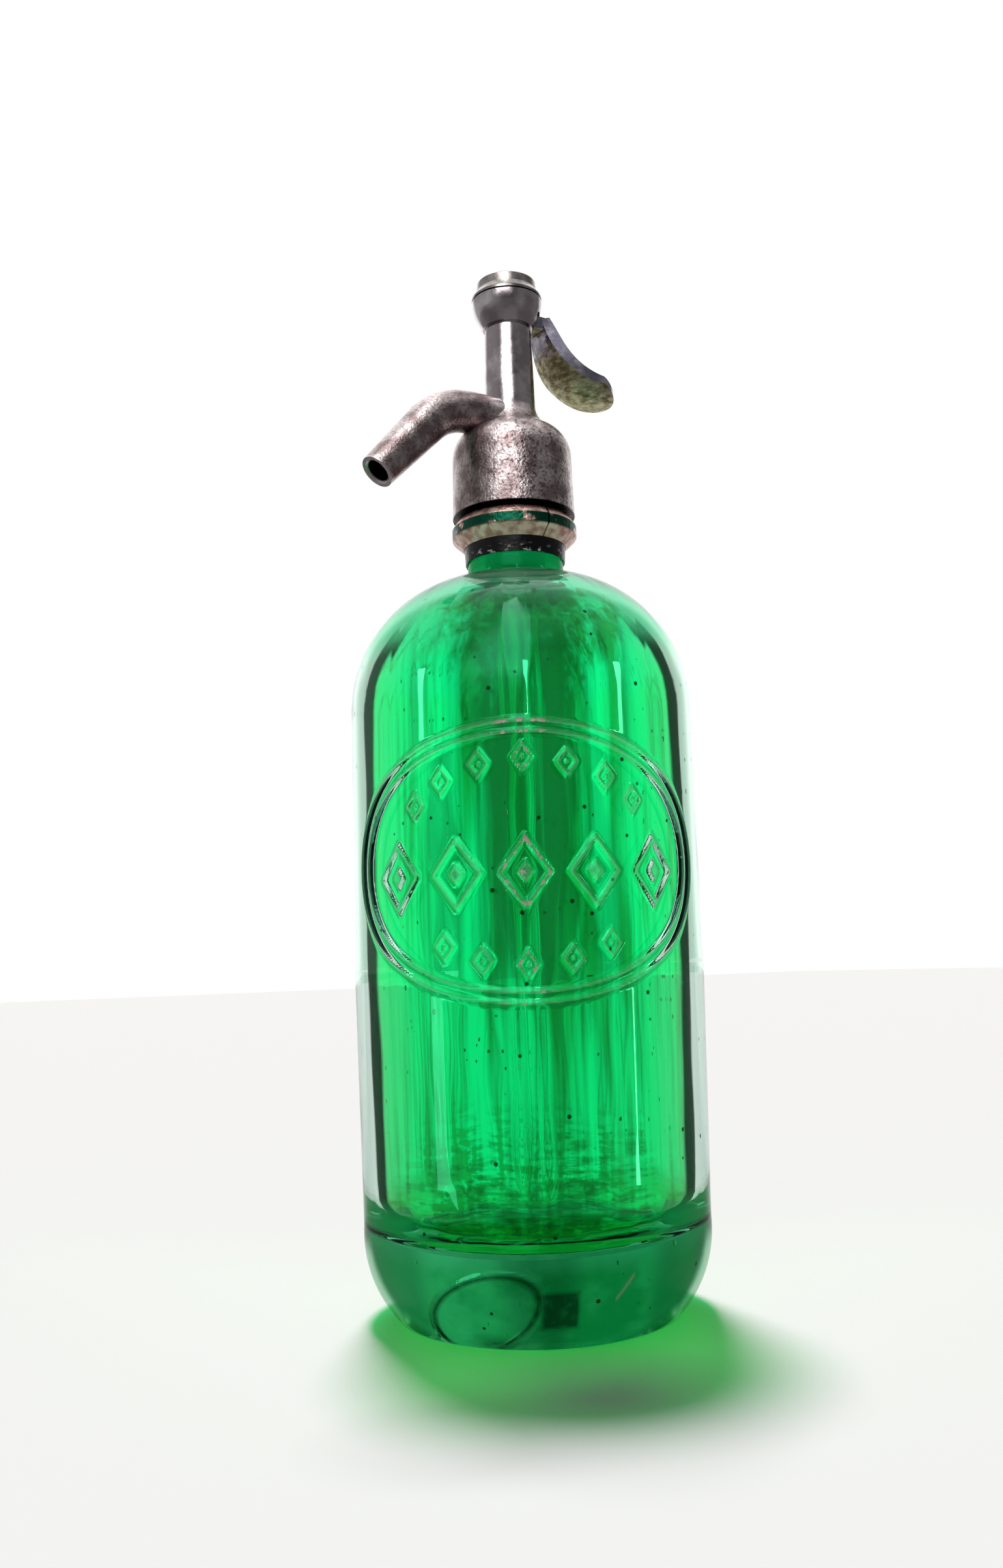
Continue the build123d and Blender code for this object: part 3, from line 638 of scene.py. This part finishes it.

# %% [markdown]
# The glass looks clear where it is seen edge on and deep emerald where the light passes both walls.
# Glass that is green all through would turn black at the thick foot. So the mass takes only a
# little colour from light, and the inner wall carries the rest as a stain, in streaks, as blowing
# draws them out. Up the middle the stain is darkened with painted shade, most of all in its upper
# part, and on the sides it is paled with painted light. It is paler on the shoulder, and has dark
# smudges low down.

# %% Stain of the green glass
emerald = Finish("emerald_glass", roughness=0.0, ior=1.5, transmission_weight=1.0)
emerald.set(specular_tint=(0.10, 1.0, 0.55, 1))
lined, dirt, scratched = (
    emerald.node("Attribute", {"attribute_name": name}, (), "Fac") for name in marks
)
across = emerald.x * rightward.x + emerald.y * rightward.y
off_middle = across.size()
# Painted shade: the stain is darkened up the middle, most of all in its upper part, and painted light
# pales it towards the sides.
in_middle = 1 - emerald.rise((across - 0.004).size(), 0.002, 0.027)
upper_half = emerald.rise(emerald.z, 0.06, 0.12)
shaded = in_middle * (upper_half * 0.25 + 0.02) - emerald.rise(off_middle, 0.020, 0.034) * 0.08
broad = emerald.blotches(0.007, 2.0, stretch=16.0)
fine = emerald.blotches(0.0018, 2.0, stretch=30.0, shift=3.0)
smudges = emerald.rise(emerald.blotches(0.008, 4.0, stretch=0.22, shift=5.0), 0.40, 0.66)
low_down = 1 - emerald.rise(emerald.z, 0.036, 0.058)
low_smudges = smudges * low_down * (1 - emerald.rise(off_middle, 0.026, 0.038))
depth = emerald.rise(broad * 0.9 + fine * 0.5 + shaded + low_smudges * 0.26, 0.62, 0.92)
high_up = emerald.rise(emerald.z, 0.178, 0.192)
light_stain = emerald.mix(high_up, (0.0, 0.90, 0.22, 1), (0.08, 1.0, 0.68, 1))
stain = emerald.mix(depth, light_stain, (0.0, 0.22, 0.012, 1))

# %% [markdown]
# The outside is clear on the body, so that the stain shows through it. The shoulder, the neck and
# the thick heel are tinted, because light runs a long way through them, and the heel is cloudy,
# with painted shade in a band right of its middle and painted light towards its sides. Two dark
# things lie on it: the glue and dirt that the mesh is marked with, and specks. Grains could be
# modelled one by one, but they are many, so a pattern of cells with one dot each draws them, and
# keeps two in five.

# %% Tint and dirt of the outside
grazing = emerald.node("LayerWeight", (), {"Blend": 0.5}, "Facing")
neck = emerald.rise(emerald.z, 0.2085, 0.2105)
heel = 1 - emerald.rise(emerald.z, 0.019, 0.027)
at_sides = emerald.rise(off_middle, 0.022, 0.034)
# Painted shade in a band just right of the heel's middle, and painted light towards its sides.
in_shade = 1 - emerald.rise((across - 0.013).size(), 0.008, 0.017)
cloud = emerald.blotches(0.009, 4.0, stretch=0.6) - in_shade * 0.24 + at_sides * 0.16
cloud = emerald.rise(cloud, 0.22, 0.62)
heel_tint = emerald.mix(cloud, (0.02, 0.42, 0.16, 1), (0.22, 0.82, 0.46, 1))
shoulder_edge = emerald.rise(grazing, 0.60, 0.88)
high_tint = emerald.mix(shoulder_edge, (0.14, 0.92, 0.50, 1), (0.03, 0.52, 0.24, 1))
body_tint = emerald.mix(high_up, (0.96, 1.0, 0.97, 1), high_tint)
clear = emerald.mix(neck, emerald.mix(heel, body_tint, heel_tint), (0.02, 0.80, 0.30, 1))
cells = {"Vector": emerald.place, "Scale": 180.0}
near_speck = emerald.node("TexVoronoi", {"feature": "F1"}, cells, "Distance")
kept = emerald.parts(near_speck.beside("Color"))[0]
specks = (1 - emerald.rise(near_speck, 0.09, 0.13)) * emerald.rise(kept, 0.60, 0.62)
glue = dirt * (0.86 + emerald.rise(emerald.blotches(0.0024, 4.0), 0.30, 0.52) * 0.14)
skin = emerald.mix(emerald.clamp(specks + glue), clear, (0.006, 0.006, 0.005, 1))
emerald.set(base_color=emerald.mix(lined, skin, stain))

# %% [markdown]
# A dark line runs inside each edge of the body, where the inner wall turns light back. It is painted
# here as a black skin on that wall, as shade, and only for rays that meet it from within the glass,
# close to the angle past which none gets out. Where the heel is seen edge on, it is nearly clear.
# Matt films do the rest: a painted highlight of pale mint on the crests, a painted reflection of the
# bright ceiling as a mint ring under the neck, milk on the neck, painted light in the cavity's
# corner, scuffs and the scratch. Each is laid over the last, as varnish is, which is easier to tune
# than one colour.

# %% Dark lines and films
to_corner = emerald.rise(emerald.z, 0.0258, 0.0275)
# Painted light: a light green film in the cavity's corner, low on the sides of the inner wall.
in_corner = lined * (1 - emerald.rise(emerald.z, 0.030, 0.037)) * at_sides * to_corner
# Painted reflection of the bright ceiling: a mint ring on the shoulder under the neck.
painted_reflection_ring = emerald.rise(emerald.z, 0.1915, 0.2030) * (1 - neck) * (1 - lined)
upright = 1 - emerald.rise(emerald.face_normal()[2].size(), 0.30, 0.60)
edge_on = emerald.rise(grazing, 0.217, 0.230) * (1 - emerald.rise(grazing, 0.253, 0.260)) * upright
from_glass = emerald.node("NewGeometry", output="Backfacing")
heel_edge = heel * (1 - lined) * emerald.rise(grazing, 0.62, 0.80)
reach = (emerald.x * emerald.x + emerald.y * emerald.y).root()
facing = (emerald.x * front.x + emerald.y * front.y) / reach
crest = emerald.rise(reach, 0.05036, 0.05066)
grain = emerald.rise(emerald.blotches(0.0022, 4.0), 0.51, 0.58)
scuffs = emerald.rise(facing, 0.986, 0.997) * grain
films = (
    (lined * from_glass * edge_on * 0.95, emerald.matt((0.0, 0.015, 0.003, 1), roughness=0.0)),
    (heel_edge * 0.8, emerald.see_through((0.93, 0.96, 0.90, 1))),
    # Painted highlight: pale mint on the crests of the raised work.
    (crest * 0.30, emerald.matt(paint(150, 238, 190))),
    # The mint ring is a painted reflection.
    (painted_reflection_ring * 0.26, emerald.matt(paint(170, 255, 226))),
    # The corner's share is painted light. The neck's share is a milky film.
    (neck * (1 - lined) * 0.6 + in_corner * 0.5, emerald.matt(paint(20, 236, 140))),
    (emerald.clamp(crest * scuffs + scratched * 0.5), emerald.matt(paint(216, 204, 194))),
)
filmed = emerald.shader
for share, film in films:
    filmed = emerald.layer(share, filmed, film)
print("films on the glass:", len(films))

# %% [markdown]
# Real glass gathers the sun into bright lines on the table, which takes very many rays to render.
# Here lamps shine straight through with the glass's own tint, which leaves a green glow on the
# floor, and a thin green volume fills the mass.

# %% Body of the glass
seen = emerald.lit_through(filmed, tint=(0.15, 0.86, 0.44, 1))
mass = emerald.node("VolumeAbsorption", (), {"Color": (0.07, 0.65, 0.42, 1), "Density": 36.0})
bottle.data.materials.clear()
bottle.data.materials.append(emerald.show(seen, mass))

# %% [markdown]
# The head is cast tin alloy. Its column and lever housing were turned and polished, so they mirror
# the room. The bell and the spout kept the skin of the mould, and years of handling have pitted and
# mottled it, most of all on the right of the bell. The spout is made a little darker, and the rim
# of its mouth lighter. The bell's foot, in the gap above the ring, and the spout's bore are painted
# black as shade. One metal with masks by place does all of this, as the casting is one piece.

# %% Cast tin
tin = Finish("old_tin", metallic=1.0)
on_spout = tin.rise(0 - tin.x, 0.0085, 0.0105) * (1 - tin.rise(tin.z, 0.280, 0.285))
turned = tin.rise(tin.z, 0.259, 0.266) * (1 - on_spout)
mottle = tin.rise(tin.blotches(0.0055, 5.0), 0.36, 0.64)
handled = tin.rise(tin.x * rightward.x + tin.y * rightward.y, -0.009, 0.003)
pits = tin.rise(tin.blotches(0.0010, 3.0), 0.48, 0.66) * (0.30 + handled * 0.70 + on_spout * 0.35)
warm = tin.mix(mottle, paint(150, 132, 132), paint(218, 206, 204))
# The whole spout is made a little darker and browner.
spout_darkened = tin.mix(on_spout * 0.22, warm, paint(92, 74, 76))
pitted = tin.mix(pits * 0.75, spout_darkened, paint(86, 64, 66))
bright = tin.mix(mottle, paint(168, 158, 162), paint(212, 204, 206))

mouth_x, mouth_z = -0.0460, 0.23666
from_mouth, above_mouth = tin.x - mouth_x, tin.z - mouth_z
inward = from_mouth * 0.682 + above_mouth * 0.7314  # metres up the spout
to_mouth_squared = from_mouth * from_mouth + above_mouth * above_mouth + tin.y * tin.y
off_axis = (to_mouth_squared - inward * inward).root()
in_bore = 1 - tin.rise(off_axis, 0.0035, 0.0038)
bore_shade = in_bore * tin.rise(inward, 0.0002, 0.0008) * (1 - tin.rise(inward, 0.018, 0.019))
rim = (1 - tin.rise(inward, 0.0003, 0.0008)) * (1 - tin.rise(off_axis, 0.0055, 0.0062))
bell_gap_shade = 1 - tin.rise(tin.z, 0.2297, 0.2301)
skin = tin.mix(rim * 0.7, tin.mix(turned, pitted, bright), paint(214, 200, 200))
# Painted shade: black in the spout's bore and along the bell's foot, in the gap above the ring.
tin.set(base_color=tin.mix(tin.clamp(bore_shade + bell_gap_shade), skin, paint(14, 11, 11)))
tin.set(roughness=0.21 + on_spout * 0.04 - turned * 0.07 + tin.blotches(0.0016, 3.0) * 0.12)
tin.bump(tin.blotches(0.0007, 3.0) * (1 - turned * 0.9) + mottle * 0.3, 0.00015)

# %% [markdown]
# The cap is the brightest piece, as hands keep it clean. A plain metal would look new, so its
# colour and its gloss wander a little, in low blotches that lie as a lathe leaves them.

# %% Top cap
cap = Finish("cap_metal", metallic=1.0)
dulled = cap.rise(cap.blotches(0.003, 4.0), 0.35, 0.7)
cap.set(base_color=cap.mix(dulled, paint(146, 140, 137), paint(184, 178, 175)))
cap.set(roughness=0.20 + cap.blotches(0.0012, 3.0, stretch=0.3) * 0.16)
cap.bump(cap.blotches(0.0018, 3.0), 0.00008)

# %% [markdown]
# The clamp ring is coppery where it is worn and green where it isn't, which is on the flat band
# round it. Its lower edge is grimy and less like metal, and in the gap under the bell it is painted
# black as shade. All of this lies in level bands, so the height alone tells them apart, and noise
# breaks up the green.

# %% Clamp ring
ring = Finish("ring_alloy", metallic=1.0)
flat_band = ring.rise(ring.z, 0.2228, 0.2234) * (1 - ring.rise(ring.z, 0.2258, 0.2264))
patchy = ring.rise(ring.blotches(0.005, 4.0, stretch=0.8), 0.34, 0.46)
worn = ring.rise(ring.blotches(0.0026, 4.0), 0.35, 0.65)
copper = ring.mix(worn, paint(188, 132, 122), paint(238, 204, 194))
band = ring.mix(flat_band * patchy, copper, paint(22, 84, 62))
# Painted shade: black in the gap under the bell.
ring_gap_shade = ring.rise(ring.z, 0.2281, 0.2285)
ring.set(base_color=ring.mix(ring_gap_shade, band, paint(14, 11, 11)))
ring.set(metallic=0.35 + ring.rise(ring.z, 0.2226, 0.2232) * 0.65)
ring.set(roughness=0.24 + ring.blotches(0.001, 3.0) * 0.22)
ring.bump(ring.blotches(0.0011, 4.0), 0.00022)

# %% [markdown]
# The lever is polished by thumbs on top. Underneath it is olive: partly tarnish, and partly painted
# shade with the green of the glass below reflected in it. The way that a face points tells the two
# apart, and a little noise makes the border between them wander.

# %% Lever
hand = Finish("lever_metal", metallic=1.0)
facing_down = 0 - hand.face_normal()[2]
# Faces that point down turn olive: tarnish, with painted shade and painted reflected green.
tarnish_and_shade = hand.rise(facing_down + hand.blotches(0.003, 3.0) * 0.3, 0.34, 0.62)
thumbed = hand.rise(hand.blotches(0.004, 4.0), 0.4, 0.7)
polish = hand.mix(thumbed, paint(150, 146, 164), paint(206, 202, 214))
flaked = hand.rise(hand.blotches(0.0028, 5.0, stretch=0.5), 0.34, 0.68)
olive = hand.mix(flaked, paint(132, 122, 86), paint(216, 208, 172))
hand.set(base_color=hand.mix(tarnish_and_shade, polish, olive))
hand.set(roughness=0.18 + tarnish_and_shade * 0.32)
hand.bump(hand.blotches(0.0024, 5.0, stretch=0.6) * (0.10 + tarnish_and_shade * 0.90), 0.0008)

# %% [markdown]
# The valve rod, the nuts and the spring's seat are brass, and the spring and the lever's pin are
# steel. No hand reaches them, so a plain metal with a slightly uneven colour and gloss is enough.

# %% Inner metals
brass = Finish("inner_brass", metallic=1.0)
brass.set(base_color=brass.mix(brass.blotches(0.002), paint(176, 138, 74), paint(206, 172, 104)))
brass.set(roughness=0.25 + brass.blotches(0.001) * 0.2)

steel = Finish("spring_steel", metallic=1.0)
steel.set(base_color=steel.mix(steel.blotches(0.002), paint(120, 118, 120), paint(170, 168, 170)))
steel.set(roughness=0.22 + steel.blotches(0.0008) * 0.2)

# %% [markdown]
# The rubber sleeve under the ring is black and shiny where it has gone hard. Pale patches along its
# foot are partly lime left by water and partly painted glints. The dip tube is clear glass, and
# lamps shine through it as through the bottle.

# %% Rubber and tube
rubber = Finish("black_rubber", specular_ior_level=0.25)
along_foot = 1 - rubber.rise(rubber.z, 0.2160, 0.2182)
# Pale patches along the foot: partly lime, partly painted glints.
lime_and_glints = rubber.rise(rubber.blotches(0.0022, 4.0, stretch=0.5), 0.56, 0.66) * along_foot
rubber.set(base_color=rubber.mix(lime_and_glints, paint(9, 10, 13), paint(196, 188, 188)))
rubber.set(roughness=0.18 + lime_and_glints * 0.4 + rubber.blotches(0.001, 3.0) * 0.2)
rubber.bump(rubber.blotches(0.0015, 3.0), 0.0001)

tube = Finish(
    "tube_glass", base_color=(0.96, 1.0, 0.98, 1), roughness=0.0, ior=1.5, transmission_weight=1.0
)
tube_seen = tube.lit_through(tube.shader, tint=(0.97, 1.0, 0.98, 1))

# %% [markdown]
# The seat under the return spring rises when the lever is pressed, so the spring has to give way. A
# copy of it stands for the solid one. A new coil could be wound, but the copy already fits its seat
# and its cap.

# %% Return spring
coil = bpy.data.objects.new("springing_coil", nodes["return_spring"].data.copy())
scene.collection.objects.link(coil)
bpy.ops.object.select_all(action="DESELECT")
coil.select_set(True)
bpy.context.view_layer.objects.active = coil
bpy.ops.object.mode_set(mode="EDIT")
bpy.ops.mesh.select_all(action="SELECT")
bpy.ops.mesh.remove_doubles(threshold=1e-6)
bpy.ops.object.mode_set(mode="OBJECT")
bpy.ops.object.shade_smooth_by_angle(angle=radians(50))
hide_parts("return_spring")
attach(coil, "bottle")
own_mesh(coil)

# %% [markdown]
# Each solid of the imported model now takes the finish of its own material, and the copied spring
# takes that of the solid it stands for. A list for each finish shows at a glance what is made of
# what.

# %% Hand out the finishes
brass_pieces = ["tube_nut", "valve_stem", "washer_nut", "packing_follower", "gland_nut"]
brass_pieces += ["lift_nuts", "spring_seat"]
rubber_pieces = ["neck_sleeve", "neck_gasket", "tube_packing", "valve_seat", "valve_washer"]
rubber_pieces += ["stem_packing", "cap_gasket"]
finishes = {
    tin.show(): ["head_casting"],
    cap.show(): ["top_cap"],
    ring.show(): ["neck_ring_left", "neck_ring_right"],
    hand.show(): ["lever"],
    brass.show(): brass_pieces,
    steel.show(): ["return_spring", "lever_pin"],
    rubber.show(): rubber_pieces,
    tube.show(tube_seen): ["dip_tube"],
}
for material, names in finishes.items():
    for name in names:
        nodes[name].data.materials.clear()
        nodes[name].data.materials.append(material)
coil.data.materials.clear()
coil.data.materials.append(nodes["return_spring"].data.materials[0])
dressed = {name for names in finishes.values() for name in names} | {"glass_bottle"}
print("nodes without a finish:", sorted(set(nodes) - dressed))
